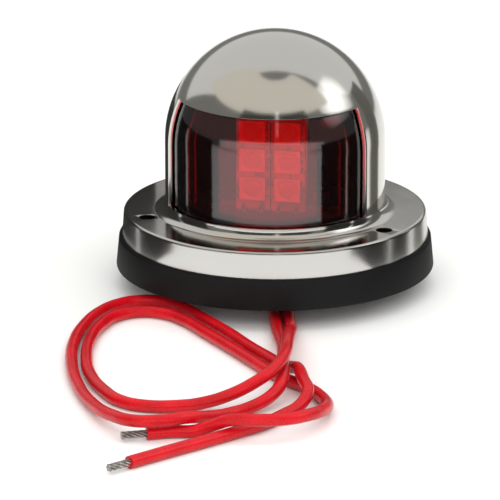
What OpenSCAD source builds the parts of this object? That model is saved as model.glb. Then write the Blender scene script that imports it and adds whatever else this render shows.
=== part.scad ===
// Side navigation light for a boat: a stamped stainless hood with a window,
// a red lens behind it, two upright LED boards inside, a thick rubber gasket
// under the flange and two leads that leave through the middle of the base.
// Frame: +Z up, the light shines towards -Y, and the origin is the centre of
// the gasket's underside, where the light sits on the deck.

/* [Hood] */
// Height of the light above the deck
light_h = 60.3; // [56:0.1:64]
// Outer radius of the round hood
hood_r = 27.6; // [27:0.1:28]
// Thickness of the stamped sheet
hood_wall = 1; // [0.8:0.1:1.2]
// Outer radius of the skirt at its lower edge
skirt_r = 38.5; // [38.2:0.1:39]
// How much narrower the skirt is at the top
skirt_lean = 0.5; // [0.2:0.1:0.8]
// Height of the flange's flat top above the deck
flange_top = 14.5; // [14.2:0.1:15]
// Radius of the rolled edge between flange and skirt
edge_r = 0.8; // [0.4:0.1:0.9]
// Radius of the hollow between the flange and the hood
foot_r = 2.6; // [2.2:0.1:2.8]
// Half of the angle that the window takes up
window_half = 65; // [60:1:68]
// Height of the window's upper edge above the deck
window_high = 44.6; // [42:0.1:46]

/* [Gasket] */
// Radius of the gasket's underside
gasket_r = 40; // [39.8:0.1:41]
// Radius of the gasket's upper edge
gasket_top_r = 39.3; // [39.2:0.1:39.6]
// Thickness of the gasket
gasket_h = 7.7; // [7.2:0.1:8]
// Radius of the opening for the leads
gasket_bore_r = 14; // [12:0.5:16]

/* [Mounting holes] */
// Radius of each hole, for a 4 mm screw
screw_hole_r = 2.1; // [2:0.05:2.3]
// Sideways distance of the two front holes from the middle
front_hole_x = 30; // [29.8:0.1:30.2]
// Distance of the two front holes ahead of the middle
front_hole_y = 14; // [13.8:0.1:14.2]
// Distance of the rear hole behind the middle
rear_hole_y = 33.1; // [33:0.1:33.2]

/* [Lens] */
// Gap between lens and hood
lens_gap = 0.4; // [0.3:0.1:0.5]
// Wall of the lens
lens_wall = 2.2; // [2:0.1:2.4]
// Radius of the lens's foot
lens_foot_r = 29.4; // [29.2:0.1:29.5]
// Thickness of the lens's foot
lens_foot_t = 2; // [1.8:0.1:2.2]
// Radius of the seal ring's round section
seal_r = 1.2; // [1:0.05:1.2]

/* [Base plate] */
// Radius of the base plate
base_r = 37; // [36.8:0.1:37.2]
// Thickness of the base plate
base_t = 2.2; // [2:0.1:2.4]
// Radius of the pillar around each mounting hole
pillar_r = 3.3; // [3:0.1:3.3]

/* [Light source] */
// Sideways distance of each LED board from the middle
board_x = 4.45; // [4.4:0.05:4.6]
// Width of each LED board
board_w = 8.5; // [8.4:0.1:8.7]
// Width of an LED
led_w = 6.6; // [6:0.1:6.8]
// Height of an LED
led_h = 5.9; // [5.5:0.1:6]
// Distance from one LED up to the next
led_pitch = 7.4; // [7.3:0.1:7.5]
// Height of the lowest LED's middle above the deck
led_low = 21.4; // [21.3:0.1:21.6]
// Distance of the LED boards' front face ahead of the middle
board_front = 6.4; // [6:0.1:7]

/* [Leads] */
// Outer diameter of each lead
lead_d = 3; // [2.8:0.1:3]
// Diameter of the bare strands
strand_d = 1.9; // [1.6:0.1:2]

/* [Hidden] */
$fn = 96;

mount_holes = [[-front_hole_x, -front_hole_y], [front_hole_x, -front_hole_y], [0, rear_hole_y]];
dome_z = light_h - hood_r;
window_low = flange_top + foot_r;
base_top = gasket_h + base_t;
lens_r = hood_r - hood_wall - lens_gap;
lens_in_r = lens_r - lens_wall;
cut = 1;                    // how far a cutting shape runs past the face it cuts

// Sealing: the ring behind the lens's foot, the bead round the base plate,
// the grommet and the resin cup above it
seal_clear = 0.05;
bead_r = 1;
bead_path_r = base_r - 0.8;
grommet_neck_r = 4.5;
grommet_flange_r = 6.2;
grommet_flange_t = 1.6;
grommet_nose_r = 4.2;
grommet_nose_wide_r = 5.2;
grommet_nose_h = 1.4;
cup_r = 6;
cup_wall = 1.2;
cup_h = 3.3;
potting_h = 2.9;

// Driver board, the posts that carry it and what is soldered to it
pcb_t = 1.6;
pcb_r = 21.4;
pcb_z = 14;
pcb_top = pcb_z + pcb_t;
post_r = 2.4;
post_pilot_r = 0.85;
post_pilot_low = 10.6;
front_posts = [[-9.5, 3], [9.5, 3]];
rear_post = [0, 15];
capacitor_at = [-8, 12];
capacitor_r = 3.15;
capacitor_h = 7.7;
regulator_at = [7.9, 12];
regulator_size = [6.6, 6, 2.3];
diode_at = [0, 8.8];
diode_size = [4.3, 2.6, 2.1];
resistors_at = [for (x = [-15, 15], y = [-6.2, -1.2]) [x, y]];
resistor_size = [3.2, 1.6, 0.6];

// Pan head screws: those of the posts, and the smaller ones of the LED boards
post_head_r = 1.9;
post_head_h = 1.4;
driver_screw_l = 4.8;
board_screw_r = 0.8;
board_head_r = 1.6;
board_head_h = 1.1;
board_screw_l = 3.8;

// Dark screen round the back of the light source
screen_r = 23.4;
screen_wall = 1.4;
screen_top = 37.5;
screen_half = 62;
screen_foot_in = 18.5;
screen_foot_t = 1.5;
screen_boss_r = 2.5;
screen_boss_top = 13.8;
screen_head_r = 2.2;
screen_shank_r = 1.1;
screen_screw_l = 5.4;
screen_screws = [for (a = [30, 150, 270]) 19.8 * [cos(a), sin(a)]];

// LED bracket and boards
bracket_w = 18;
bracket_t = 3;
bracket_top = 44;
bracket_back = -board_front + pcb_t + bracket_t;
foot_x = 9;
foot_w = 8;
foot_t = 1.6;
foot_back = 7;
fins_x = [-7.5, -2.5, 2.5, 7.5];
fin_w = 1.2;
fin_d = 4;
fin_low = 19;
fin_top = 43;
board_screw_z = 41.7;
board_pilot_l = 2.4;
led_t = 1.6;
led_dish_r = 2.5;
led_dish_t = 0.35;
leg_w = 0.9;
leg_t = 0.9;
leg_out = 0.45;
legs_z = [-1.9, 0, 1.9];
leds_z = [for (i = [0:2]) led_low + i * led_pitch];
pin_r = 0.35;
pin_y = -7.9;
pin_z = 17;
pin_past = 0.5;
solder_lip = 0.15;
pin_relief_r = 0.8;
pin_relief_l = 0.8;
pins_x = [for (side = [-1, 1], step = [-2.2, 2.2]) side * board_x + step];

// Leads: each comes straight down out of the grommet, turns onto the surface
// below the light and lies there in one loose loop
lead_r = lead_d / 2;
lead_pair_x = 1.7;
core_r = 0.7;
core_past = 1.1;
floor_z = -5.2;
rest_z = floor_z + lead_r;
lead_a_route = [
    [1.7, 0, 14], [1.7, 0, 4.5], [2.1, -2, -0.6], [3.2, -6.5, -3.3], [4.8, -14, rest_z],
    [7.8, -26, rest_z], [10.2, -36, rest_z], [11.8, -43, -3], [13.2, -52, -0.4], [14.6, -62, 1.9],
    [16, -72, 3.3], [17, -81, 3.6], [16.2, -88.5, 2.7], [12.5, -94.5, 0.8], [7, -98, -1.6],
    [0.5, -100.5, -3.3], [-5.5, -102.5, rest_z], [-12, -103.5, rest_z], [-18, -101.5, rest_z],
    [-24, -94.5, rest_z], [-29.5, -84, rest_z], [-33.2, -71.5, rest_z], [-35.2, -58, rest_z],
    [-35, -46.5, rest_z], [-32.5, -38, rest_z], [-27.5, -34, rest_z], [-21.5, -34.5, rest_z],
    [-15.5, -39, rest_z], [-8.5, -47.5, rest_z], [-0.5, -57.5, rest_z], [6.5, -66.5, rest_z],
    [12, -73.5, rest_z], [17, -78.8, rest_z], [21, -82, rest_z], [24.5, -85.5, rest_z],
    [27.8, -90.5, rest_z], [30, -97, -3], [30, -104.5, -1.8], [28, -111, -0.8], [23.5, -116, -0.4],
    [17.5, -118.5, -0.2], [11, -119.3, -0.3], [6.5, -119, -2.1], [2.5, -119, -3.6],
    [-2.5, -120, rest_z], [-8, -122.5, rest_z]
];
lead_b_route = [
    [-1.7, 0, 14], [-1.7, 0, 4.5], [-1.3, -2, -0.6], [-0.2, -6.5, -3.3], [1.4, -14, rest_z],
    [4.3, -26.5, rest_z], [6.7, -36, rest_z], [8.6, -44, -3.5], [11, -54, -2.2], [13.4, -64, -0.6],
    [15, -72, 0.2], [16.4, -80, 0.2], [17.8, -90, -0.5], [16.6, -96, -1.8], [13, -100.5, -3.2],
    [8.5, -105, rest_z], [4.8, -112, -2.4], [0.8, -118.4, -0.6], [-4.5, -122.6, -0.3],
    [-10.5, -123, -0.6], [-17, -117.5, -1.6], [-24.5, -105.5, -3.2], [-31, -91.5, rest_z],
    [-35.8, -76.5, rest_z], [-38.6, -61.5, rest_z], [-39, -47.5, rest_z], [-37.5, -37, rest_z],
    [-34.5, -30, rest_z], [-30, -26, rest_z], [-24, -25.5, rest_z], [-17.5, -29.5, rest_z],
    [-10.5, -37.5, rest_z], [-2.5, -47.5, rest_z], [4.5, -57, rest_z], [9.5, -63, rest_z],
    [14.2, -68.5, rest_z], [17.6, -73.5, -2.3], [20, -79.5, -0.5], [22.6, -87.5, -0.3],
    [24.8, -94, -1.2], [23.8, -99, -2.8], [20.5, -104.5, rest_z], [17.5, -110.5, rest_z],
    [12, -118, rest_z], [6, -125.5, rest_z], [-1.5, -134.5, rest_z], [-8, -142.5, rest_z]
];
strand_a_end = [-13.5, -125, rest_z];
strand_b_end = [-11.8, -147.2, rest_z];

// ---- Shared shapes -------------------------------------------------------

function unit(v) = v / norm(v);

// Direction of a route at one of its points
function heading(route, i) =
    unit(route[min(i + 1, len(route) - 1)] - route[max(i - 1, 0)]);

// A vector turned square to a direction
function square_to(v, dir) = unit(v - (v * dir) * dir);

// Round tube swept along a route, with one ring at each of its points
module tube(route, r, sides = 8) {
    sideways = [for (i = 0, s = square_to([1, 0, 0], heading(route, 0));
                     i < len(route);
                     i = i + 1, s = i < len(route) ? square_to(s, heading(route, i)) : s) s];
    rings = [for (i = [0:len(route) - 1], k = [0:sides - 1])
        let (s = sideways[i], t = cross(heading(route, i), s), a = 360 * k / sides)
        route[i] + r * (cos(a) * s + sin(a) * t)];
    walls = [for (i = [0:len(route) - 2], k = [0:sides - 1])
        let (a = i * sides + k, b = i * sides + (k + 1) % sides)
        each [[a, a + sides, b], [b, a + sides, b + sides]]];
    last = (len(route) - 1) * sides;
    ends = [[for (k = [0:sides - 1]) k], [for (k = [sides - 1:-1:0]) last + k]];
    polyhedron(points = rings, faces = concat(walls, ends));
}

module ring(r_out, r_in, h) {
    difference() {
        cylinder(h = h, r = r_out);
        translate([0, 0, -cut]) cylinder(h = h + 2 * cut, r = r_in);
    }
}

// Round tower with a half-ball on top, from height low up to the dome
module domed(r, low) {
    translate([0, 0, low]) cylinder(h = dome_z - low, r = r);
    intersection() {
        translate([0, 0, dome_z]) sphere(r = r);
        translate([0, 0, dome_z]) cylinder(h = r + cut, r = r + cut);
    }
}

// Wedge that opens towards the front, half_angle to each side of it
module front_wedge(half_angle, low, high) {
    reach = 60;
    side = reach * [sin(half_angle), -cos(half_angle)];
    translate([0, 0, low]) linear_extrude(height = high - low)
        polygon([[0, 0], [-side.x, side.y], [-reach, -reach], [reach, -reach], side]);
}

module at_mount_holes() {
    for (p = mount_holes) translate([p.x, p.y, 0]) children();
}

module mount_hole_cutters(low, high) {
    at_mount_holes() translate([0, 0, low - cut]) cylinder(h = high - low + 2 * cut, r = screw_hole_r);
}

module box_between(low, high) {
    translate(low) cube(high - low);
}

// Pan head screw that points down, its head's underside at the origin
module pan_screw(head_r, head_h, shank_r, length) {
    cylinder(h = head_h, r = head_r);
    translate([0, 0, -length]) cylinder(h = length, r = shank_r);
}

// The hood's outline, drawn in by inset, with its lower edge at height low
module hood_form(inset, low) {
    top = flange_top - inset;
    lean = skirt_lean / (flange_top - gasket_h);
    wide_low = skirt_r - inset + (gasket_h - low) * lean;
    wide_top = skirt_r - inset - (top - edge_r - gasket_h) * lean;
    domed(hood_r - inset, low);
    translate([0, 0, low]) cylinder(h = top - edge_r - low, r1 = wide_low, r2 = wide_top);
    translate([0, 0, low]) cylinder(h = top - low, r = wide_top - edge_r);
    translate([0, 0, top - edge_r]) rotate_extrude() translate([wide_top - edge_r, 0]) circle(r = edge_r);
    foot = foot_r + inset;
    translate([0, 0, top]) rotate_extrude() difference() {
        translate([hood_r - inset - cut, -cut]) square([foot + cut, foot + cut]);
        translate([hood_r - inset + foot, foot]) circle(r = foot);
        translate([hood_r - inset + foot, -cut]) square([foot, 3 * foot]);
    }
}

// ---- Outer pieces --------------------------------------------------------

module hood_shell() {
    color("silver") difference() {
        hood_form(0, gasket_h);
        hood_form(hood_wall, gasket_h - cut);
        front_wedge(window_half, window_low, window_high);
        mount_hole_cutters(gasket_h, flange_top);
    }
}

module lens() {
    color("darkred") difference() {
        union() {
            domed(lens_r, base_top);
            translate([0, 0, base_top]) cylinder(h = lens_foot_t, r = lens_foot_r);
        }
        domed(lens_in_r, base_top - cut);
    }
}

// O-ring in the corner between the lens and its foot, under the hood
module lens_seal() {
    color("dimgray") translate([0, 0, base_top + lens_foot_t + seal_r])
        rotate_extrude() translate([lens_r + seal_r + seal_clear, 0]) circle(r = seal_r);
}

module gasket() {
    color([0.12, 0.12, 0.12]) difference() {
        cylinder(h = gasket_h, r1 = gasket_r, r2 = gasket_top_r);
        translate([0, 0, -cut]) cylinder(h = gasket_h + 2 * cut, r = gasket_bore_r);
        mount_hole_cutters(0, gasket_h);
    }
}

// ---- Base ----------------------------------------------------------------

module base_plate() {
    color([0.16, 0.16, 0.17]) difference() {
        union() {
            translate([0, 0, gasket_h]) cylinder(h = base_t, r = base_r);
            at_mount_holes() translate([0, 0, gasket_h])
                cylinder(h = flange_top - hood_wall - gasket_h, r = pillar_r);
            translate([0, 0, base_top]) ring(cup_r + cup_wall, cup_r, cup_h);
            for (p = concat(front_posts, [rear_post])) translate([p.x, p.y, gasket_h])
                cylinder(h = pcb_z - gasket_h, r = post_r);
        }
        mount_hole_cutters(gasket_h, flange_top);
        translate([0, 0, gasket_h - cut]) cylinder(h = base_t + 2 * cut, r = grommet_neck_r);
        for (p = concat(front_posts, [rear_post])) translate([p.x, p.y, post_pilot_low])
            cylinder(h = pcb_z - post_pilot_low + cut, r = post_pilot_r);
        for (p = screen_screws) translate([p.x, p.y, gasket_h]) screen_screw();
    }
}

// Bead of sealant that holds the base plate in the hood
module sealant_bead() {
    color([0.22, 0.22, 0.23]) difference() {
        translate([0, 0, base_top + bead_r]) rotate_extrude() translate([bead_path_r, 0]) circle(r = bead_r);
        at_mount_holes() translate([0, 0, base_top - cut]) cylinder(h = 4 * bead_r, r = pillar_r);
    }
}

// Countersunk screw that points up, its flat head in the plate's underside
module screen_screw() {
    cylinder(h = screen_head_r - screen_shank_r, r1 = screen_head_r, r2 = screen_shank_r);
    cylinder(h = screen_screw_l, r = screen_shank_r);
}

module base_screws() {
    color("lightgray") for (p = screen_screws) translate([p.x, p.y, gasket_h]) screen_screw();
}

// Two-hole rubber grommet with a tapered nose below the plate
module grommet() {
    nose_z = gasket_h - grommet_flange_t - grommet_nose_h;
    color([0.1, 0.1, 0.1]) difference() {
        union() {
            translate([0, 0, nose_z])
                cylinder(h = grommet_nose_h, r1 = grommet_nose_r, r2 = grommet_nose_wide_r);
            translate([0, 0, gasket_h - grommet_flange_t])
                cylinder(h = grommet_flange_t, r = grommet_flange_r);
            translate([0, 0, gasket_h]) cylinder(h = base_t, r = grommet_neck_r);
        }
        lead_holes(nose_z, base_top);
    }
}

// Resin that fills the cup above the grommet
module potting() {
    color([0.2, 0.18, 0.15]) difference() {
        translate([0, 0, base_top]) cylinder(h = potting_h, r = cup_r);
        lead_holes(base_top, base_top + potting_h);
    }
}

module lead_holes(low, high) {
    for (side = [-1, 1]) translate([side * lead_pair_x, 0, low - cut])
        cylinder(h = high - low + 2 * cut, r = lead_r);
}

// ---- Light source --------------------------------------------------------

// Black screen behind and beside the LEDs that limits the light to the window
module light_screen() {
    color([0.08, 0.08, 0.08]) difference() {
        union() {
            difference() {
                translate([0, 0, base_top]) ring(screen_r, screen_r - screen_wall, screen_top - base_top);
                front_wedge(screen_half, pcb_z, screen_top + cut);
            }
            translate([0, 0, base_top]) ring(screen_r, screen_foot_in, screen_foot_t);
            for (p = screen_screws) translate([p.x, p.y, base_top])
                cylinder(h = screen_boss_top - base_top, r = screen_boss_r);
        }
        for (p = screen_screws) translate([p.x, p.y, gasket_h]) screen_screw();
    }
}

module driver_board() {
    color("darkgreen") difference() {
        translate([0, 0, pcb_z]) cylinder(h = pcb_t, r = pcb_r);
        for (p = concat(front_posts, [rear_post])) translate([p.x, p.y, pcb_z - cut])
            cylinder(h = pcb_t + 2 * cut, r = post_pilot_r);
        for (side = [-1, 1]) translate([side * lead_pair_x, 0, pcb_z - cut])
            cylinder(h = pcb_t + 2 * cut, r = core_r);
        for (x = pins_x) translate([x, pin_y, pcb_z - cut]) cylinder(h = pcb_t + 2 * cut, r = pin_r);
    }
}

// Block of the given size that stands on the driver board
module on_driver_board(p, size) {
    translate([p.x - size.x / 2, p.y - size.y / 2, pcb_top]) cube(size);
}

module capacitor() {
    color("darkslategray") translate([capacitor_at.x, capacitor_at.y, pcb_top])
        cylinder(h = capacitor_h, r = capacitor_r);
}

module regulator() {
    color([0.1, 0.1, 0.1]) on_driver_board(regulator_at, regulator_size);
}

module diode() {
    color([0.15, 0.15, 0.15]) on_driver_board(diode_at, diode_size);
}

module resistors() {
    color([0.2, 0.2, 0.22]) for (p = resistors_at) on_driver_board(p, resistor_size);
}

// Aluminium upright with cooling fins at its back and two feet
module led_bracket() {
    front = -board_front + pcb_t;
    color("gainsboro") difference() {
        union() {
            box_between([-bracket_w / 2, front, pcb_top], [bracket_w / 2, bracket_back, bracket_top]);
            for (x = fins_x)
                box_between([x - fin_w / 2, front, fin_low], [x + fin_w / 2, bracket_back + fin_d, fin_top]);
            for (x = [-foot_x, foot_x])
                box_between([x - foot_w / 2, front, pcb_top], [x + foot_w / 2, foot_back, pcb_top + foot_t]);
        }
        for (p = front_posts) translate([p.x, p.y, pcb_top - cut])
            cylinder(h = foot_t + 2 * cut, r = post_pilot_r);
        for (side = [-1, 1]) translate([side * board_x, front, board_screw_z]) rotate([-90, 0, 0])
            translate([0, 0, -cut]) cylinder(h = board_pilot_l + cut, r = board_screw_r);
        for (x = pins_x) translate([x, front, pin_z]) rotate([-90, 0, 0])
            translate([0, 0, -cut]) cylinder(h = pin_relief_l + cut, r = pin_relief_r);
    }
}

module bracket_screws() {
    color("lightgray") for (p = front_posts) translate([p.x, p.y, pcb_top + foot_t])
        pan_screw(post_head_r, post_head_h, post_pilot_r, driver_screw_l + foot_t);
}

module driver_screw() {
    color("lightgray") translate([rear_post.x, rear_post.y, pcb_top])
        pan_screw(post_head_r, post_head_h, post_pilot_r, driver_screw_l);
}

// LED board, standing on the driver board; side is -1 for left, 1 for right
module led_board(side) {
    color("whitesmoke") difference() {
        box_between([side * board_x - board_w / 2, -board_front, pcb_top],
                    [side * board_x + board_w / 2, -board_front + pcb_t, bracket_top]);
        translate([side * board_x, -board_front - cut, board_screw_z]) rotate([-90, 0, 0])
            cylinder(h = pcb_t + 2 * cut, r = board_screw_r);
        for (x = pins_x) translate([x, -board_front - cut, pin_z]) rotate([-90, 0, 0])
            cylinder(h = pcb_t + 2 * cut, r = pin_r);
    }
}

module left_led_board() {
    led_board(-1);
}

module right_led_board() {
    led_board(1);
}

// One LED: a block with a dished face and three legs on each side
module led() {
    color("lightyellow") difference() {
        union() {
            box_between([-led_w / 2, -board_front - led_t, -led_h / 2], [led_w / 2, -board_front, led_h / 2]);
            for (z = legs_z)
                box_between([-led_w / 2 - leg_out, -board_front - leg_t, z - leg_w / 2],
                            [led_w / 2 + leg_out, -board_front, z + leg_w / 2]);
        }
        translate([0, -board_front - led_t - cut, 0]) rotate([-90, 0, 0])
            cylinder(h = cut + led_dish_t, r = led_dish_r);
    }
}

module left_leds() {
    for (z = leds_z) translate([-board_x, 0, z]) led();
}

module right_leds() {
    for (z = leds_z) translate([board_x, 0, z]) led();
}

module board_screws() {
    color("lightgray") for (side = [-1, 1]) translate([side * board_x, -board_front, board_screw_z])
        rotate([90, 0, 0]) pan_screw(board_head_r, board_head_h, board_screw_r, board_screw_l);
}

// Bent pins that join each LED board to the driver board
module link_pins() {
    color("gold") for (x = pins_x) {
        translate([x, pin_y, pcb_z]) cylinder(h = pin_z - pcb_z, r = pin_r);
        translate([x, pin_y, pin_z]) sphere(r = pin_r);
        translate([x, pin_y, pin_z]) rotate([-90, 0, 0])
            cylinder(h = -board_front + pcb_t + pin_past - pin_y, r = pin_r);
    }
}

// Cone of solder round a wire that stands up out of its hole
module solder_joint(wide_r, high, hole_r) {
    difference() {
        cylinder(h = high, r1 = wide_r, r2 = hole_r + solder_lip);
        translate([0, 0, -cut]) cylinder(h = high + 2 * cut, r = hole_r);
    }
}

module solder_joints() {
    color("lightsteelblue") {
        for (x = pins_x) translate([x, pin_y, pcb_top]) solder_joint(0.9, 0.7, pin_r);
        for (side = [-1, 1]) translate([side * lead_pair_x, 0, pcb_top]) solder_joint(1.5, 0.9, core_r);
    }
}

// ---- Leads ---------------------------------------------------------------

module lead_a() {
    color("crimson") tube(lead_a_route, lead_r);
}

module lead_b() {
    color("crimson") tube(lead_b_route, lead_r);
}

// Tinned strands of one lead, where they show at its two ends
module strands(route, side, end) {
    color("lightgray") {
        tube([route[len(route) - 1], end], strand_d / 2);
        translate([side * lead_pair_x, 0, pcb_z]) cylinder(h = pcb_t + core_past, r = core_r);
    }
}

module lead_a_strands() {
    strands(lead_a_route, 1, strand_a_end);
}

module lead_b_strands() {
    strands(lead_b_route, -1, strand_b_end);
}

hood_shell();
lens();
lens_seal();
gasket();
base_plate();
sealant_bead();
base_screws();
light_screen();
driver_board();
capacitor();
regulator();
diode();
resistors();
led_bracket();
bracket_screws();
driver_screw();
left_led_board();
right_led_board();
left_leds();
right_leds();
board_screws();
link_pins();
solder_joints();
grommet();
potting();
lead_a();
lead_b();
lead_a_strands();
lead_b_strands();
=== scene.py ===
import math

import bmesh
import bpy
from mathutils import Matrix, Vector


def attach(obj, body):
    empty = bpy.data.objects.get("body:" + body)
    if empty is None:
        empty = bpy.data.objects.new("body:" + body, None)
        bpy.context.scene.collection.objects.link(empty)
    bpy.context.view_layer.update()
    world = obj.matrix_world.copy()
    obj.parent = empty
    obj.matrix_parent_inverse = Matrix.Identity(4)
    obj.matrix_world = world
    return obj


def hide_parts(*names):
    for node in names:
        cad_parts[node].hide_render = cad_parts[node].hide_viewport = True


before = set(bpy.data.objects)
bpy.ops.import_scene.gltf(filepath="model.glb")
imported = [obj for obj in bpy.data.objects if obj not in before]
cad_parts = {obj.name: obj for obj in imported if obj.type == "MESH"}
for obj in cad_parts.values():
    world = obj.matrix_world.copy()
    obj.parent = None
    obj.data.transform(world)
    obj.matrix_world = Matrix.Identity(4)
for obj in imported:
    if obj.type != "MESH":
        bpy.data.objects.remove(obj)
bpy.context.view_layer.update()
MM = 0.001

# ---- Camera ----
# The light is seen a little from its right and from slightly above, through
# a long lens 1.33 m away.
view_round = math.radians(10.5)
view_down = math.radians(17.5)
view_from = 1.33
aim_aside = -6.3 * MM
aim_up = 3.1 * MM
focal_length = 379.4
right = Vector((math.cos(view_round), math.sin(view_round), 0))
towards = Vector((math.sin(view_round) * math.cos(view_down), -math.cos(view_round) * math.cos(view_down),
                  math.sin(view_down)))
up = towards.cross(right)
aim = right * aim_aside + up * aim_up
camera_data = bpy.data.cameras.new("camera")
camera_data.lens = focal_length
camera_data.sensor_width = 36
camera_data.clip_start = 0.05
camera = bpy.data.objects.new("camera", camera_data)
bpy.context.collection.objects.link(camera)
camera.location = aim + towards * view_from
camera.rotation_euler = towards.to_track_quat("Z", "Y").to_euler()
bpy.context.scene.camera = camera
bpy.context.scene.view_settings.view_transform = "Standard"

# ---- Leads ----
# Two single-core leads with a soft red PVC jacket, soldered to the driver
# board, led straight down through the grommet and laid in one loose loop each
# on the surface below the light, which is held up by its mount.


def linear(colour):
    """A hex colour as the linear values that a shader takes."""
    parts = [int(colour[i:i + 2], 16) / 255 for i in (1, 3, 5)]
    return (*[c / 12.92 if c <= 0.04045 else ((c + 0.055) / 1.055) ** 2.4 for c in parts], 1)


def add(tree, kind, inputs=None, **settings):
    """Adds one node, with its settings and with a value or a link at each named input."""
    node = tree.nodes.new("ShaderNode" + kind)
    for key, value in settings.items():
        setattr(node, key, value)
    for key, value in (inputs or {}).items():
        if isinstance(value, bpy.types.NodeSocket):
            tree.links.new(value, node.inputs[key])
        else:
            node.inputs[key].default_value = value
    return node


def finish(name, colour, roughness, **sockets):
    """A material on one Principled shader, with the shader and its tree."""
    material = bpy.data.materials.new(name)
    material.use_nodes = True
    tree = material.node_tree
    shader = tree.nodes["Principled BSDF"]
    shader.inputs["Base Color"].default_value = linear(colour)
    shader.inputs["Roughness"].default_value = roughness
    for key, value in sockets.items():
        shader.inputs[key.replace("_", " ")].default_value = value
    return material, tree, shader


# Extruded plasticised PVC: a bright, slightly translucent red with a soft
# gloss, a faint cloudiness of the pigment and shallow marks of the die.
red_pvc, tree, shader = finish("red PVC jacket", "#C8101F", 0.34, Specular_IOR_Level=0.3)
place = add(tree, "TexCoord")
cloud = add(tree, "TexNoise", {"Vector": place.outputs["Object"], "Scale": 160, "Detail": 4})
tint = add(tree, "ValToRGB", {"Fac": cloud.outputs["Fac"]})
tint.color_ramp.elements[0].position = 0.3
tint.color_ramp.elements[0].color = linear("#AC0913")
tint.color_ramp.elements[1].position = 0.75
tint.color_ramp.elements[1].color = linear("#CA0D1D")
tree.links.new(tint.outputs["Color"], shader.inputs["Base Color"])
grain = add(tree, "TexNoise", {"Vector": place.outputs["Object"], "Scale": 2200, "Detail": 3})
rough = add(tree, "MapRange", {"Value": grain.outputs["Fac"], "To Min": 0.22, "To Max": 0.36})
tree.links.new(rough.outputs["Result"], shader.inputs["Roughness"])
bump = add(tree, "Bump", {"Height": grain.outputs["Fac"], "Strength": 0.06, "Distance": 0.00005})
tree.links.new(bump.outputs["Normal"], shader.inputs["Normal"])

lead_d = 3 * MM
rest_z = -3.7
lead_a_route = [
    [1.7, 0, 14], [1.7, 0, 4.5], [2.1, -2, -0.6], [3.2, -6.5, -3.3], [4.8, -14, rest_z],
    [7.8, -26, rest_z], [10.2, -36, rest_z], [11.8, -43, -3], [13.2, -52, -0.4], [14.6, -62, 1.9],
    [16, -72, 3.3], [17, -81, 3.6], [16.2, -88.5, 2.7], [12.5, -94.5, 0.8], [7, -98, -1.6],
    [0.5, -100.5, -3.3], [-5.5, -102.5, rest_z], [-12, -103.5, rest_z], [-18, -101.5, rest_z],
    [-24, -94.5, rest_z], [-29.5, -84, rest_z], [-33.2, -71.5, rest_z], [-35.2, -58, rest_z],
    [-35, -46.5, rest_z], [-32.5, -38, rest_z], [-27.5, -34, rest_z], [-21.5, -34.5, rest_z],
    [-15.5, -39, rest_z], [-8.5, -47.5, rest_z], [-0.5, -57.5, rest_z], [6.5, -66.5, rest_z],
    [12, -73.5, rest_z], [17, -78.8, rest_z], [21, -82, rest_z], [24.5, -85.5, rest_z],
    [27.8, -90.5, rest_z], [30, -97, -3], [30, -104.5, -1.8], [28, -111, -0.8], [23.5, -116, -0.4],
    [17.5, -118.5, -0.2], [11, -119.3, -0.3], [6.5, -119, -2.1], [2.5, -119, -3.6],
    [-2.5, -120, rest_z], [-8, -122.5, rest_z],
]
lead_b_route = [
    [-1.7, 0, 14], [-1.7, 0, 4.5], [-1.3, -2, -0.6], [-0.2, -6.5, -3.3], [1.4, -14, rest_z],
    [4.3, -26.5, rest_z], [6.7, -36, rest_z], [8.6, -44, -3.5], [11, -54, -2.2], [13.4, -64, -0.6],
    [15, -72, 0.2], [16.4, -80, 0.2], [17.8, -90, -0.5], [16.6, -96, -1.8], [13, -100.5, -3.2],
    [8.5, -105, rest_z], [4.8, -112, -2.4], [0.8, -118.4, -0.6], [-4.5, -122.6, -0.3],
    [-10.5, -123, -0.6], [-17, -117.5, -1.6], [-24.5, -105.5, -3.2], [-31, -91.5, rest_z],
    [-35.8, -76.5, rest_z], [-38.6, -61.5, rest_z], [-39, -47.5, rest_z], [-37.5, -37, rest_z],
    [-34.5, -30, rest_z], [-30, -26, rest_z], [-24, -25.5, rest_z], [-17.5, -29.5, rest_z],
    [-10.5, -37.5, rest_z], [-2.5, -47.5, rest_z], [4.5, -57, rest_z], [9.5, -63, rest_z],
    [14.2, -68.5, rest_z], [17.6, -73.5, -2.3], [20, -79.5, -0.5], [22.6, -87.5, -0.3],
    [24.8, -94, -1.2], [23.8, -99, -2.8], [20.5, -104.5, rest_z], [17.5, -110.5, rest_z],
    [12, -118, rest_z], [6, -125.5, rest_z], [-1.5, -134.5, rest_z], [-8, -142.5, rest_z],
]


def lay_lead(name, route, node):
    """A round lead along its route, as one smooth curve."""
    data = bpy.data.curves.new(name, "CURVE")
    data.dimensions = "3D"
    data.bevel_depth = lead_d / 2
    data.bevel_resolution = 8
    data.resolution_u = 10
    data.use_fill_caps = True
    spline = data.splines.new("BEZIER")
    spline.bezier_points.add(len(route) - 1)
    for knot, at in zip(spline.bezier_points, route):
        knot.co = Vector(at) * MM
        knot.handle_left_type = "AUTO"
        knot.handle_right_type = "AUTO"
    spline.bezier_points[0].handle_right_type = "VECTOR"
    spline.bezier_points[1].handle_left_type = "VECTOR"
    data.materials.append(red_pvc)
    lead = bpy.data.objects.new(name, data)
    bpy.context.collection.objects.link(lead)
    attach(lead, "root")
    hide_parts(node)
    return lead


lead_a = lay_lead("jacket_a", lead_a_route, "lead_a")
lead_b = lay_lead("jacket_b", lead_b_route, "lead_b")

# ---- Bare ends of the leads ----
# The conductor is seven tinned copper wires, twisted. The jacket is stripped
# off it for 6 mm at the far end, and for the solder joint at the near end.


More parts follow.
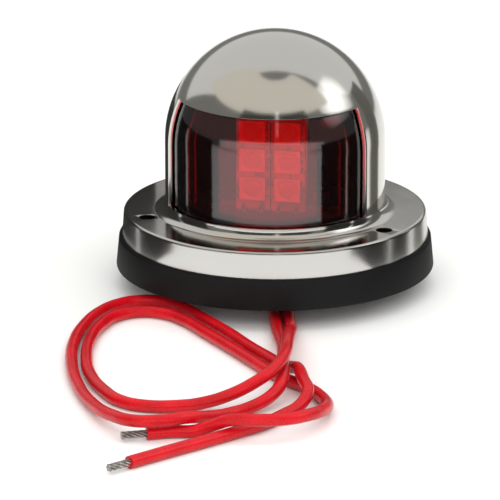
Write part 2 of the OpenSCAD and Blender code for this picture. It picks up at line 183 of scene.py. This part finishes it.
def shown(name, bm, materials, node=None, sharp=35, modifiers=()):
    """Turns a bmesh in millimetres into a finished piece, with its modifiers applied."""
    bmesh.ops.scale(bm, vec=(MM, MM, MM), verts=bm.verts)
    mesh = bpy.data.meshes.new(name)
    bm.to_mesh(mesh)
    bm.free()
    for material in materials:
        mesh.materials.append(material)
    piece = bpy.data.objects.new(name, mesh)
    bpy.context.collection.objects.link(piece)
    for kind, settings in modifiers:
        modifier = piece.modifiers.new(kind.lower(), kind)
        for key, value in settings.items():
            setattr(modifier, key, value)
    if modifiers:
        bpy.context.view_layer.update()
        mesh = bpy.data.meshes.new_from_object(piece.evaluated_get(bpy.context.evaluated_depsgraph_get()))
        piece.modifiers.clear()
        piece.data = mesh
    mesh.name = name
    mesh.shade_smooth()
    mesh.set_sharp_from_angle(angle=math.radians(sharp))
    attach(piece, "root")
    if node:
        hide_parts(node)
    return piece


# Tinned copper: dull silver with grey patches where the tin is thin.
tinned, tree, shader = finish("tinned copper strands", "#B4B0AC", 0.38, Metallic=1.0)
place = add(tree, "TexCoord")
patch = add(tree, "TexNoise", {"Vector": place.outputs["Object"], "Scale": 900, "Detail": 4})
tint = add(tree, "ValToRGB", {"Fac": patch.outputs["Fac"]})
tint.color_ramp.elements[0].position = 0.35
tint.color_ramp.elements[0].color = linear("#8C8683")
tint.color_ramp.elements[1].position = 0.7
tint.color_ramp.elements[1].color = linear("#C9C6C2")
tree.links.new(tint.outputs["Color"], shader.inputs["Base Color"])
rough = add(tree, "MapRange", {"Value": patch.outputs["Fac"], "To Min": 0.28, "To Max": 0.5})
tree.links.new(rough.outputs["Result"], shader.inputs["Roughness"])

wire_r = 0.31
twist_length = 9
tucked_in = 1.5
lead_x = 1.7
joint_wire_r = 0.22
joint_low = 13.9
joint_high = 16.7


def twisted(bm, start, end, wires_r, length_steps=24):
    """Adds a seven-wire twist from start to end: one straight wire and six that wind round it."""
    run = Vector(end) - Vector(start)
    turn = Matrix.Translation(Vector(start)) @ run.to_track_quat("Z", "Y").to_matrix().to_4x4()
    for i in range(7):
        off = 0 if i == 6 else 2 * wires_r
        spot = Matrix.Rotation(math.radians(60 * i), 4, "Z") @ Matrix.Translation((off, 0, 0))
        made = bmesh.ops.create_circle(bm, cap_ends=True, radius=wires_r, segments=8, matrix=spot)
        faces = list({f for v in made["verts"] for f in v.link_faces})
        spun = bmesh.ops.spin(bm, geom=faces, cent=(0, 0, 0), axis=(0, 0, 1),
                              dvec=(0, 0, run.length / length_steps),
                              angle=2 * math.pi * run.length / twist_length, steps=length_steps)
        tube = {v for f in faces if f.is_valid for v in f.verts}
        tube.update(v for v in spun["geom_last"] if isinstance(v, bmesh.types.BMVert))
        grow = list(tube)
        while grow:
            for edge in grow.pop().link_edges:
                for v in edge.verts:
                    if v not in tube:
                        tube.add(v)
                        grow.append(v)
        bmesh.ops.transform(bm, matrix=turn, verts=list(tube))


for name, side, route, tip, node, lead, length in (
        ("strands_a", 1, lead_a_route, [-13.5, -125, rest_z], "lead_a_strands", lead_a, 0.363),
        ("strands_b", -1, lead_b_route, [-11.8, -147.2, rest_z], "lead_b_strands", lead_b, 0.414)):
    bm = bmesh.new()
    inner = Vector(route[-1]) - (Vector(tip) - Vector(route[-1])).normalized() * tucked_in
    twisted(bm, inner, tip, wire_r)
    twisted(bm, [side * lead_x, 0, joint_low], [side * lead_x, 0, joint_high], joint_wire_r)
    bmesh.ops.recalc_face_normals(bm, faces=bm.faces)
    strands = shown(name, bm, [tinned], node, sharp=50)

# ---- Grommet and resin ----
# A moulded rubber grommet holds the two leads in the base plate, and black
# epoxy poured into the cup above it keeps water out.


def dress(material, *nodes):
    """Gives CAD pieces whose shape is already right their finish."""
    for node in nodes:
        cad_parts[node].material_slots[0].material = material


# Moulded nitrile rubber: near-black with a low sheen.
grommet_rubber, tree, shader = finish("moulded nitrile rubber", "#161616", 0.6)
place = add(tree, "TexCoord")
grain = add(tree, "TexNoise", {"Vector": place.outputs["Object"], "Scale": 1800, "Detail": 3})
tint = add(tree, "ValToRGB", {"Fac": grain.outputs["Fac"]})
tint.color_ramp.elements[0].color = linear("#121212")
tint.color_ramp.elements[1].color = linear("#202020")
tree.links.new(tint.outputs["Color"], shader.inputs["Base Color"])
bump = add(tree, "Bump", {"Height": grain.outputs["Fac"], "Strength": 0.2, "Distance": 0.0001})
tree.links.new(bump.outputs["Normal"], shader.inputs["Normal"])
dress(grommet_rubber, "grommet")

# Poured epoxy: glossy, with a slow ripple where it set.
epoxy, tree, shader = finish("poured black epoxy", "#1B1613", 0.12)
place = add(tree, "TexCoord")
ripple = add(tree, "TexNoise", {"Vector": place.outputs["Object"], "Scale": 350, "Detail": 1})
bump = add(tree, "Bump", {"Height": ripple.outputs["Fac"], "Strength": 0.3, "Distance": 0.0003})
tree.links.new(bump.outputs["Normal"], shader.inputs["Normal"])
dress(epoxy, "potting")

# ---- Gasket ----
# A thick ring of black EPDM, moulded with a slight taper and rounded edges.
# It seals the light to the deck and has a hole for each fixing screw.


def draw(bm, start, *moves):
    """Draws an outline in the upright plane.

    (x, z) is a straight move and (x, z, degrees, steps) an arc about a centre.
    """
    at = bm.verts.new((start[0], 0, start[1]))
    for move in moves:
        if len(move) == 2:
            at = bmesh.ops.extrude_vert_indiv(bm, verts=[at])["verts"][0]
            at.co = Vector((move[0], 0, move[1]))
        else:
            x, z, turn, steps = move
            spun = bmesh.ops.spin(bm, geom=[at], cent=(x, 0, z), axis=(0, -1, 0), angle=math.radians(turn),
                                  steps=steps)
            at = [v for v in spun["geom_last"] if isinstance(v, bmesh.types.BMVert)][0]


def turned(bm, steps):
    """Turns the drawn outline once round the upright axis and closes its seams and poles."""
    bmesh.ops.spin(bm, geom=bm.verts[:] + bm.edges[:], cent=(0, 0, 0), axis=(0, 0, 1), angle=2 * math.pi,
                   steps=steps, use_merge=True)
    bmesh.ops.remove_doubles(bm, verts=bm.verts, dist=0.001)
    bmesh.ops.recalc_face_normals(bm, faces=bm.faces)


screw_hole_r = 2.1
screw_holes = [(-30, -14), (30, -14), (0, 33.1)]


def hole_cutter(name, places, radius, low, high, segments=40):
    """Upright plugs that cut holes, taken away again once they have been used."""
    bm = bmesh.new()
    for x, y in places:
        bmesh.ops.create_cone(bm, cap_ends=True, segments=segments, radius1=radius, radius2=radius,
                              depth=high - low, matrix=Matrix.Translation((x, y, (low + high) / 2)))
    bmesh.ops.scale(bm, vec=(MM, MM, MM), verts=bm.verts)
    mesh = bpy.data.meshes.new(name)
    bm.to_mesh(mesh)
    bm.free()
    cutter = bpy.data.objects.new(name, mesh)
    bpy.context.collection.objects.link(cutter)
    return cutter


# Moulded EPDM rubber: matte near-black, a fine grain from the mould and a
# little bloom that greys it in patches.
epdm, tree, shader = finish("moulded EPDM rubber", "#121213", 0.62, Specular_IOR_Level=0.2)
place = add(tree, "TexCoord")
bloom = add(tree, "TexNoise", {"Vector": place.outputs["Object"], "Scale": 90, "Detail": 5,
                               "Roughness": 0.65})
tint = add(tree, "ValToRGB", {"Fac": bloom.outputs["Fac"]})
tint.color_ramp.elements[0].position = 0.3
tint.color_ramp.elements[0].color = linear("#0A0A0B")
tint.color_ramp.elements[1].position = 0.8
tint.color_ramp.elements[1].color = linear("#141415")
tree.links.new(tint.outputs["Color"], shader.inputs["Base Color"])
rough = add(tree, "MapRange", {"Value": bloom.outputs["Fac"], "To Min": 0.5, "To Max": 0.72})
tree.links.new(rough.outputs["Result"], shader.inputs["Roughness"])
grain = add(tree, "TexNoise", {"Vector": place.outputs["Object"], "Scale": 2600, "Detail": 2})
bump = add(tree, "Bump", {"Height": grain.outputs["Fac"], "Strength": 0.25, "Distance": 0.0001})
tree.links.new(bump.outputs["Normal"], shader.inputs["Normal"])

well_r = 14
well_edge = 0.3
gasket_high = 7.7
gasket_r = 39.96
gasket_top_r = 38.9
gasket_edge = 0.4
cutter = hole_cutter("gasket_holes", screw_holes, screw_hole_r, -2, gasket_high + 2.3)
bm = bmesh.new()
draw(bm, (well_r, well_edge), (well_r, gasket_high - well_edge), (well_r + well_edge, gasket_high),
     (38.2, gasket_high), (gasket_top_r, gasket_high), (gasket_top_r, gasket_high - gasket_edge, -90, 5),
     (gasket_r, gasket_edge), (gasket_r - gasket_edge, gasket_edge, -90, 5), (well_r + well_edge, 0),
     (well_r, well_edge))
turned(bm, 192)
shown("deck_gasket", bm, [epdm], "gasket", modifiers=[
    ("BOOLEAN", {"operation": "DIFFERENCE", "object": cutter, "solver": "EXACT"}),
    ("WEIGHTED_NORMAL", {"keep_sharp": True})])
bpy.data.objects.remove(cutter)

# ---- Base plate ----
# The floor of the light, moulded in black ABS with its pillars, posts and
# resin cup, bedded in the hood in a bead of silicone. Three countersunk
# screws come up through it.

# Moulded ABS: black, with the fine spark texture of the mould.
black_abs, tree, shader = finish("moulded black ABS", "#101011", 0.72, Specular_IOR_Level=0.2)
place = add(tree, "TexCoord")
spark = add(tree, "TexVoronoi", {"Vector": place.outputs["Object"], "Scale": 2500})
bump = add(tree, "Bump", {"Height": spark.outputs["Distance"], "Strength": 0.25, "Distance": 0.00005})
tree.links.new(bump.outputs["Normal"], shader.inputs["Normal"])
rough = add(tree, "MapRange", {"Value": spark.outputs["Distance"], "To Min": 0.65, "To Max": 0.85})
tree.links.new(rough.outputs["Result"], shader.inputs["Roughness"])
dress(black_abs, "base_plate", "light_screen")

# Cured silicone: dark grey with a soft, slightly lumpy surface.
silicone, tree, shader = finish("cured silicone", "#2B2B2D", 0.35)
place = add(tree, "TexCoord")
lump = add(tree, "TexNoise", {"Vector": place.outputs["Object"], "Scale": 500, "Detail": 3})
bump = add(tree, "Bump", {"Height": lump.outputs["Fac"], "Strength": 0.5, "Distance": 0.0004})
tree.links.new(bump.outputs["Normal"], shader.inputs["Normal"])
dress(silicone, "sealant_bead")

# Stainless screws: satin, with fine lines left by the header.
screw_steel, tree, shader = finish("satin stainless screws", "#B9B7B2", 0.3, Metallic=1.0)
place = add(tree, "TexCoord")
line = add(tree, "TexNoise", {"Vector": place.outputs["Object"], "Scale": 3000, "Detail": 2})
rough = add(tree, "MapRange", {"Value": line.outputs["Fac"], "To Min": 0.22, "To Max": 0.4})
tree.links.new(rough.outputs["Result"], shader.inputs["Roughness"])
dress(screw_steel, "base_screws", "bracket_screws", "driver_screw", "board_screws")

# ---- Driver board ----
# A round glass-fibre board with a green solder mask on the posts of the base
# plate. It carries the capacitor, regulator, diode and resistors.

# Solder mask over woven glass: dark green, glossy, and lighter where a copper
# area lies under it. The weave of 0.5 mm shows through faintly.
green_board, tree, shader = finish("green solder mask", "#0E3B22", 0.28)
place = add(tree, "TexCoord")
copper = add(tree, "TexVoronoi", {"Vector": place.outputs["Object"], "Scale": 220}, distance="CHEBYCHEV")
edge = add(tree, "Math", {0: copper.outputs["Distance"], 1: 0.42}, operation="GREATER_THAN")
tint = add(tree, "ValToRGB", {"Fac": edge.outputs["Value"]})
tint.color_ramp.elements[0].color = linear("#11482A")
tint.color_ramp.elements[1].color = linear("#0A2C19")
tree.links.new(tint.outputs["Color"], shader.inputs["Base Color"])
weave = add(tree, "TexChecker", {"Vector": place.outputs["Object"], "Scale": 2000})
bump = add(tree, "Bump", {"Height": weave.outputs["Fac"], "Strength": 0.15, "Distance": 0.00003})
tree.links.new(bump.outputs["Normal"], shader.inputs["Normal"])
dress(green_board, "driver_board")

# Epoxy moulding compound: charcoal black with a fine matte grain.
moulding, tree, shader = finish("epoxy moulding compound", "#19191B", 0.55)
place = add(tree, "TexCoord")
grain = add(tree, "TexNoise", {"Vector": place.outputs["Object"], "Scale": 5000, "Detail": 2})
bump = add(tree, "Bump", {"Height": grain.outputs["Fac"], "Strength": 0.3, "Distance": 0.00004})
tree.links.new(bump.outputs["Normal"], shader.inputs["Normal"])
dress(moulding, "capacitor", "regulator", "diode", "resistors")

# ---- LED bracket ----
# Extruded aluminium with cooling fins at the back, screwed to the driver
# board's posts. It holds the LED boards upright and carries their heat away.

# Extruded aluminium: pale grey, with the fine upright lines of the die.
extruded, tree, shader = finish("extruded aluminium", "#C8C9CB", 0.35, Metallic=1.0)
place = add(tree, "TexCoord")
along = add(tree, "Mapping", {"Vector": place.outputs["Object"], "Scale": (1, 1, 0.02)})
line = add(tree, "TexNoise", {"Vector": along.outputs["Vector"], "Scale": 2500, "Detail": 3})
bump = add(tree, "Bump", {"Height": line.outputs["Fac"], "Strength": 0.3, "Distance": 0.00005})
tree.links.new(bump.outputs["Normal"], shader.inputs["Normal"])
rough = add(tree, "MapRange", {"Value": line.outputs["Fac"], "To Min": 0.28, "To Max": 0.45})
tree.links.new(rough.outputs["Result"], shader.inputs["Roughness"])
dress(extruded, "led_bracket")

# ---- LED boards ----
# Two narrow boards with a white solder mask, screwed flat on the bracket.
# Bent, gold-plated pins join them to the driver board.

# White solder mask: slightly warm, satin, a little grey in the copper's gaps.
white_board, tree, shader = finish("white solder mask", "#E6E3DC", 0.35)
place = add(tree, "TexCoord")
copper = add(tree, "TexVoronoi", {"Vector": place.outputs["Object"], "Scale": 260}, distance="CHEBYCHEV")
tint = add(tree, "ValToRGB", {"Fac": copper.outputs["Distance"]})
tint.color_ramp.elements[0].position = 0.4
tint.color_ramp.elements[0].color = linear("#CBC8C1")
tint.color_ramp.elements[1].position = 0.46
tint.color_ramp.elements[1].color = linear("#A3A09A")
tree.links.new(tint.outputs["Color"], shader.inputs["Base Color"])
dress(white_board, "left_led_board", "right_led_board")

# Gold plating over brass.
gold_pins, tree, shader = finish("gold-plated brass pins", "#D9B25C", 0.22, Metallic=1.0)
place = add(tree, "TexCoord")
wear = add(tree, "TexNoise", {"Vector": place.outputs["Object"], "Scale": 1500, "Detail": 2})
rough = add(tree, "MapRange", {"Value": wear.outputs["Fac"], "To Min": 0.15, "To Max": 0.35})
tree.links.new(rough.outputs["Result"], shader.inputs["Roughness"])
dress(gold_pins, "link_pins")

# Lead-free solder: bright and slightly frosted.
solder, tree, shader = finish("lead-free solder", "#BFC1C4", 0.25, Metallic=1.0)
place = add(tree, "TexCoord")
frost = add(tree, "TexNoise", {"Vector": place.outputs["Object"], "Scale": 2500, "Detail": 3})
rough = add(tree, "MapRange", {"Value": frost.outputs["Fac"], "To Min": 0.15, "To Max": 0.45})
tree.links.new(rough.outputs["Result"], shader.inputs["Roughness"])
bump = add(tree, "Bump", {"Height": frost.outputs["Fac"], "Strength": 0.3, "Distance": 0.00005})
tree.links.new(bump.outputs["Normal"], shader.inputs["Normal"])
dress(solder, "solder_joints")

# ---- LEDs ----
# Three on each board, one above another. Each is a white moulded package with
# a round dish of yellow phosphor and three soldered legs on each side.
board_front = -6.4
led_wide = 6.6
led_high = 5.9
led_deep = 1.6
led_rows = [21.4, 28.8, 36.2]
board_x = 4.45
dish_floor_r = 2.15
dish_rim_r = 2.75
dish_deep = 0.9
phosphor_r = 2.3
leg_size = (0.5, 0.8, 0.9)
leg_steps = (-1.9, 0, 1.9)
fillet_r = 0.42

# Moulded reflector plastic, and silicone with phosphor that fills the dish.
led_white, tree, shader = finish("moulded reflector plastic", "#E9E7E0", 0.4)
place = add(tree, "TexCoord")
grain = add(tree, "TexNoise", {"Vector": place.outputs["Object"], "Scale": 2500, "Detail": 2})
rough = add(tree, "MapRange", {"Value": grain.outputs["Fac"], "To Min": 0.32, "To Max": 0.5})
tree.links.new(rough.outputs["Result"], shader.inputs["Roughness"])
phosphor, tree, shader = finish("yellow phosphor silicone", "#D9C25A", 0.18)
place = add(tree, "TexCoord")
grain = add(tree, "TexNoise", {"Vector": place.outputs["Object"], "Scale": 1500, "Detail": 3})
tint = add(tree, "ValToRGB", {"Fac": grain.outputs["Fac"]})
tint.color_ramp.elements[0].color = linear("#C9AE45")
tint.color_ramp.elements[1].color = linear("#E2CC6A")
tree.links.new(tint.outputs["Color"], shader.inputs["Base Color"])

for name, x, node in (("leds_left", -board_x, "left_leds"), ("leds_right", board_x, "right_leds")):
    dish = bmesh.new()
    for z in led_rows:
        turn = Matrix.Translation((x, board_front - led_deep, z)) @ Matrix.Rotation(math.radians(90), 4, "X")
        bmesh.ops.create_cone(dish, cap_ends=True, segments=40, radius1=dish_floor_r, radius2=dish_rim_r,
                              depth=dish_deep, matrix=turn)
    bmesh.ops.scale(dish, vec=(MM, MM, MM), verts=dish.verts)
    dish_mesh = bpy.data.meshes.new("dish")
    dish.to_mesh(dish_mesh)
    dish.free()
    cutter = bpy.data.objects.new("dish", dish_mesh)
    bpy.context.collection.objects.link(cutter)
    bm = bmesh.new()
    for z in led_rows:
        body = bmesh.ops.create_cube(bm, size=1, matrix=Matrix.Translation((x, board_front - led_deep / 2, z))
                                     @ Matrix.Diagonal((led_wide, led_deep, led_high, 1)))
        edges = list({e for v in body["verts"] for e in v.link_edges})
        bmesh.ops.bevel(bm, geom=edges, offset=0.18, segments=3, profile=0.5, affect="EDGES", material=-1)
    shown(name, bm, [led_white], node, modifiers=[
        ("BOOLEAN", {"operation": "DIFFERENCE", "object": cutter, "solver": "EXACT"}),
        ("WEIGHTED_NORMAL", {"keep_sharp": True})])
    bpy.data.objects.remove(cutter)
    bm = bmesh.new()
    for z in led_rows:
        bmesh.ops.create_uvsphere(bm, u_segments=32, v_segments=12, radius=phosphor_r,
                                  matrix=Matrix.Translation((x, board_front - led_deep + 0.42, z))
                                  @ Matrix.Rotation(math.radians(90), 4, "X")
                                  @ Matrix.Diagonal((1, 1, 0.12, 1)))
    shown(name + "_phosphor", bm, [phosphor], sharp=60)
    bm = bmesh.new()
    for z in led_rows:
        for side in (-1, 1):
            for step in leg_steps:
                foot = Matrix.Translation((x + side * (led_wide / 2 + 0.2), board_front - 0.4, z + step))
                leg = bmesh.ops.create_cube(bm, size=1, matrix=foot @ Matrix.Diagonal((*leg_size, 1)))
                edges = list({e for v in leg["verts"] for e in v.link_edges})
                bmesh.ops.bevel(bm, geom=edges, offset=0.12, segments=2, profile=0.5, affect="EDGES",
                                material=-1)
                bmesh.ops.create_uvsphere(bm, u_segments=12, v_segments=8, radius=fillet_r, matrix=foot
                                          @ Matrix.Translation((side * 0.1, 0.25, 0))
                                          @ Matrix.Diagonal((0.8, 0.5, 1.1, 1)))
    shown(name + "_legs", bm, [solder])

# ---- Lens ----
# Injection-moulded red polycarbonate, 2.2 mm thick: a straight tube closed by
# a dome, with a foot that sits on the base plate and a rubber ring round it.

# Clear red polycarbonate: it passes deep red only, and its polished faces
# mirror the room. Light goes straight through a wall this thin.
red_lens = bpy.data.materials.new("clear red polycarbonate")
red_lens.use_nodes = True
tree = red_lens.node_tree
tree.nodes.remove(tree.nodes["Principled BSDF"])
through = add(tree, "BsdfTransparent", {"Color": (0.95, 0.05, 0.07, 1)})
mirror = add(tree, "BsdfGlossy", {"Color": (1, 1, 1, 1), "Roughness": 0.09})
place = add(tree, "TexCoord")
flow = add(tree, "TexNoise", {"Vector": place.outputs["Object"], "Scale": 60, "Detail": 1})
bump = add(tree, "Bump", {"Height": flow.outputs["Fac"], "Strength": 0.05, "Distance": 0.0003})
tree.links.new(bump.outputs["Normal"], mirror.inputs["Normal"])
facing = add(tree, "LayerWeight", {"Blend": 0.5})
rise = add(tree, "Math", {0: facing.outputs["Facing"], 1: 5}, operation="POWER")
share = add(tree, "MapRange", {"Value": rise.outputs["Value"], "To Min": 0.09, "To Max": 1.0})
skin = add(tree, "MixShader", {0: share.outputs["Result"], 1: through.outputs[0], 2: mirror.outputs[0]})
tree.links.new(skin.outputs["Shader"], tree.nodes["Material Output"].inputs["Surface"])

lens_r = 26.2
lens_inner_r = 24.0
lens_dome_z = 32.7
lens_foot_r = 29.4
lens_foot_low = 9.9
lens_foot_high = 11.9
lens_edge = 0.2
bm = bmesh.new()
draw(bm, (lens_r, lens_foot_high + lens_edge), (lens_r, lens_dome_z), (0, lens_dome_z, 90, 40))
draw(bm, (lens_r, lens_foot_high + lens_edge), (lens_r + lens_edge, lens_foot_high),
     (lens_foot_r - lens_edge, lens_foot_high), (lens_foot_r, lens_foot_high - lens_edge),
     (lens_foot_r, lens_foot_low + lens_edge), (lens_foot_r - lens_edge, lens_foot_low),
     (lens_inner_r, lens_foot_low), (lens_inner_r, lens_dome_z), (0, lens_dome_z, 90, 36))
turned(bm, 192)
shown("red_lens", bm, [red_lens], "lens")

dress(grommet_rubber, "lens_seal")

# ---- Hood ----
# One sheet of stainless steel, 1 mm thick, deep-drawn to a tower with a
# round top on a flanged foot. The window is cut out of its front, the tower
# is polished to a mirror and the flange and skirt are finished on a lathe.
wall = 1.0
flange_top = 14.5
skirt_low = (38.5, 7.7)
roll_centre = (37.26, 13.7)
foot_centre = (30.2, 17.1)
tower_r = 27.6
dome_z = 32.7
window_low = 17.1
window_high = 44.6
window_half = 65
sill_turn = math.degrees(math.asin((window_high - dome_z) / tower_r))

# Mirror-polished stainless steel: a warm light grey, with the faint cloud and
# hair-fine lines that a buffing wheel leaves.
polished, tree, shader = finish("mirror-polished stainless steel", "#CFCDC8", 0.07, Metallic=1.0)
place = add(tree, "TexCoord")
haze = add(tree, "TexNoise", {"Vector": place.outputs["Object"], "Scale": 70, "Detail": 3})
rough = add(tree, "MapRange", {"Value": haze.outputs["Fac"], "To Min": 0.1, "To Max": 0.16})
tree.links.new(rough.outputs["Result"], shader.inputs["Roughness"])
around = add(tree, "Mapping", {"Vector": place.outputs["Object"], "Scale": (1, 1, 30)})
hair = add(tree, "TexNoise", {"Vector": around.outputs["Vector"], "Scale": 260, "Detail": 3})
bump = add(tree, "Bump", {"Height": hair.outputs["Fac"], "Strength": 0.02, "Distance": 0.0001})
tree.links.new(bump.outputs["Normal"], shader.inputs["Normal"])

# The same steel finished on a lathe: satin, with rings too fine to see one by
# one, drawn about 0.3 mm apart so that they show.
lathed, tree, shader = finish("lathe-finished stainless steel", "#C9C7C3", 0.2, Metallic=1.0)
place = add(tree, "TexCoord")
haze = add(tree, "TexNoise", {"Vector": place.outputs["Object"], "Scale": 110, "Detail": 3})
split = add(tree, "SeparateXYZ", {"Vector": place.outputs["Object"]})
height = add(tree, "MapRange", {"Value": split.outputs["Z"], "From Min": 13.4 * MM, "From Max": 14.3 * MM,
                                "To Min": 0.26, "To Max": 0.06})
rough = add(tree, "MapRange", {"Value": haze.outputs["Fac"], "To Min": height.outputs["Result"],
                               "To Max": 0.2})
tree.links.new(rough.outputs["Result"], shader.inputs["Roughness"])
flat = add(tree, "CombineXYZ", {"X": split.outputs["X"], "Y": split.outputs["Y"]})
radius = add(tree, "VectorMath", {0: flat.outputs["Vector"]}, operation="LENGTH")
rings = add(tree, "CombineXYZ", {"X": radius.outputs["Value"], "Z": split.outputs["Z"]})
line = add(tree, "TexNoise", {"Vector": rings.outputs["Vector"], "Scale": 3000, "Detail": 3})
bump = add(tree, "Bump", {"Height": line.outputs["Fac"], "Strength": 0.06, "Distance": 0.00006})
tree.links.new(bump.outputs["Normal"], shader.inputs["Normal"])

bm = bmesh.new()
draw(bm, skirt_low, (38.07, 13.5), (38.06, 13.7), (*roll_centre, 90, 6), (37.1, flange_top),
     (30.4, flange_top), (30.2, flange_top), (*foot_centre, -90, 12), (tower_r, 17.4), (tower_r, 24),
     (tower_r, 32.4), (tower_r, dome_z), (0, dome_z, sill_turn, 10), (0, dome_z, 90 - sill_turn, 34))
turned(bm, 288)
in_window = []
for face in bm.faces:
    middle = face.calc_center_median()
    turn = abs(math.degrees(math.atan2(middle.x, -middle.y)))
    on_tower = math.hypot(*middle.xy) < tower_r + 0.01
    if on_tower and window_low < middle.z < window_high and turn < window_half:
        in_window.append(face)
bmesh.ops.delete(bm, geom=in_window, context="FACES")
for face in bm.faces:
    face.material_index = 1 if face.calc_center_median().z < flange_top + 0.1 else 0
cutter = hole_cutter("hood_holes", screw_holes, screw_hole_r, 5, 17)
shown("hood", bm, [polished, lathed], "hood_shell", modifiers=[
    ("SOLIDIFY", {"thickness": wall * MM, "offset": -1, "use_even_offset": True}),
    ("BOOLEAN", {"operation": "DIFFERENCE", "object": cutter, "solver": "EXACT"}),
    ("BEVEL", {"width": 0.16 * MM, "segments": 3, "limit_method": "ANGLE", "angle_limit": math.radians(50)}),
    ("WEIGHTED_NORMAL", {"keep_sharp": True})])
bpy.data.objects.remove(cutter)

# ---- Floor and lights ----
# A plain pale table top under soft studio light: a large box overhead, one to
# the right, a strip and a low card in front, and two fills that don't show in
# reflections. The leads lie on the table, which is 5.3 mm below the gasket.
floor_z = -5.3
floor_r = 3
table = finish("pale matte table top", "#F4F4F2", 0.6)[0]
bm = bmesh.new()
bmesh.ops.create_circle(bm, cap_ends=True, segments=96, radius=floor_r,
                        matrix=Matrix.Translation((0, 0, floor_z * MM)))
mesh = bpy.data.meshes.new("floor")
bm.to_mesh(mesh)
bm.free()
mesh.materials.append(table)
floor = bpy.data.objects.new("floor", mesh)
bpy.context.collection.objects.link(floor)

aim_z = 30 * MM


def light(name, azimuth, elevation, distance, wide, high, radiance, colour="#FFFFFF", spread=180):
    """A soft rectangular light that faces the object. Azimuth is to the right of the camera, in degrees."""
    sideways = view_round + math.radians(azimuth)
    tall = math.radians(elevation)
    facing = Vector((math.sin(sideways) * math.cos(tall), -math.cos(sideways) * math.cos(tall),
                     math.sin(tall)))
    data = bpy.data.lights.new(name, "AREA")
    data.shape = "RECTANGLE"
    data.size = wide
    data.size_y = high
    half = math.radians(spread) / 2
    beam = 1 if spread == 180 else math.tan(half) / (math.tan(half) - half)
    data.spread = math.radians(spread)
    data.energy = radiance * math.pi * wide * high / beam
    data.color = linear(colour)[:3]
    lamp = bpy.data.objects.new(name, data)
    bpy.context.collection.objects.link(lamp)
    lamp.location = facing * distance + Vector((0, 0, aim_z))
    lamp.rotation_euler = facing.to_track_quat("Z", "Y").to_euler()
    lamp.visible_camera = False
    return lamp


light("overhead_box", 0, 126, 1.0, 3.2, 1.5, 0.55)
light("front_strip", 2, 30, 0.3, 0.014, 0.13, 0.8)
light("right_box", 85, 34, 0.9, 0.7, 0.6, 2.4, spread=50)
light("front_card", -4, 5.6, 0.3, 0.96, 0.06, 1.0)
light("top_fill", 0, 80, 1.3, 2.6, 2.6, 1.05).visible_glossy = False
light("front_fill", 0, 25, 1.3, 1.6, 0.9, 2.6).visible_glossy = False

# Lit panels above and in front, and grey cards that keep the room off the
# flanks. They show in reflections only, and only from the side that faces the
# light. Each is a line from (radius, height) to (radius, height), swept round.
for name, colour, lit, low, high, start, end in (
        ("upper_panel", "#F4EFE3", 0.85, (360, 301), (120, 550), -110, 75),
        ("low_white_card", "#FFFFFF", 1.25, (300, 5.3), (43.5, 5.3), -58, 44),
        ("front_flag", "#4A4A48", 0, (340, 98), (340, 340), -42, 38),
        ("right_card", "#3C3C3A", 0, (62, -5), (62, 40), 41, 67.5),
        ("far_right_card", "#3C3C3A", 0, (62, -5), (62, 40), 69.5, 88),
        ("rear_right_card", "#74746F", 0, (62, -5), (62, 70), 95, 113),
        ("left_card", "#3C3C3A", 0, (62, -5), (62, 40), -92, -59),
        ("far_left_card", "#3C3C3A", 0, (62, -5), (62, 40), -150, -95)):
    paper, tree, shader = finish(name, colour, 1.0, Specular_IOR_Level=0.0)
    shader.inputs["Emission Color"].default_value = linear(colour)
    shader.inputs["Emission Strength"].default_value = lit
    if lit:
        shader.inputs["Base Color"].default_value = (0, 0, 0, 1)
    side = add(tree, "NewGeometry")
    clear = add(tree, "BsdfTransparent")
    faced = add(tree, "MixShader", {0: side.outputs["Backfacing"], 1: shader.outputs[0], 2: clear.outputs[0]})
    tree.links.new(faced.outputs[0], tree.nodes["Material Output"].inputs["Surface"])
    bm = bmesh.new()
    turn = Matrix.Rotation(view_round + math.radians(start), 3, "Z")
    ends = [bm.verts.new(turn @ Vector((0, -out * MM, z * MM))) for out, z in (low, high)]
    bmesh.ops.spin(bm, geom=[*ends, bm.edges.new(ends)], cent=(0, 0, 0), axis=(0, 0, 1),
                   angle=math.radians(end - start), steps=24)
    bm.normal_update()
    first = next(iter(bm.faces))
    if first.normal.dot(Vector((0, 0, aim_z)) - first.calc_center_median()) < 0:
        bmesh.ops.reverse_faces(bm, faces=bm.faces)
    mesh = bpy.data.meshes.new(name)
    bm.to_mesh(mesh)
    bm.free()
    mesh.materials.append(paper)
    card = bpy.data.objects.new(name, mesh)
    bpy.context.collection.objects.link(card)
    card.visible_camera = card.visible_diffuse = card.visible_shadow = card.visible_transmission = False

world = bpy.data.worlds.new("studio")
bpy.context.scene.world = world
world.use_nodes = True
tree = world.node_tree
room = tree.nodes["Background"]
room.inputs["Color"].default_value = linear("#8F8E8B")
room.inputs["Strength"].default_value = 0.8
pale = add(tree, "Background", {"Color": linear("#FAFAFA"), "Strength": 1.0})
ray = add(tree, "LightPath")
both = add(tree, "MixShader", {0: ray.outputs["Is Camera Ray"], 1: room.outputs[0], 2: pale.outputs[0]})
tree.links.new(both.outputs[0], tree.nodes["World Output"].inputs["Surface"])
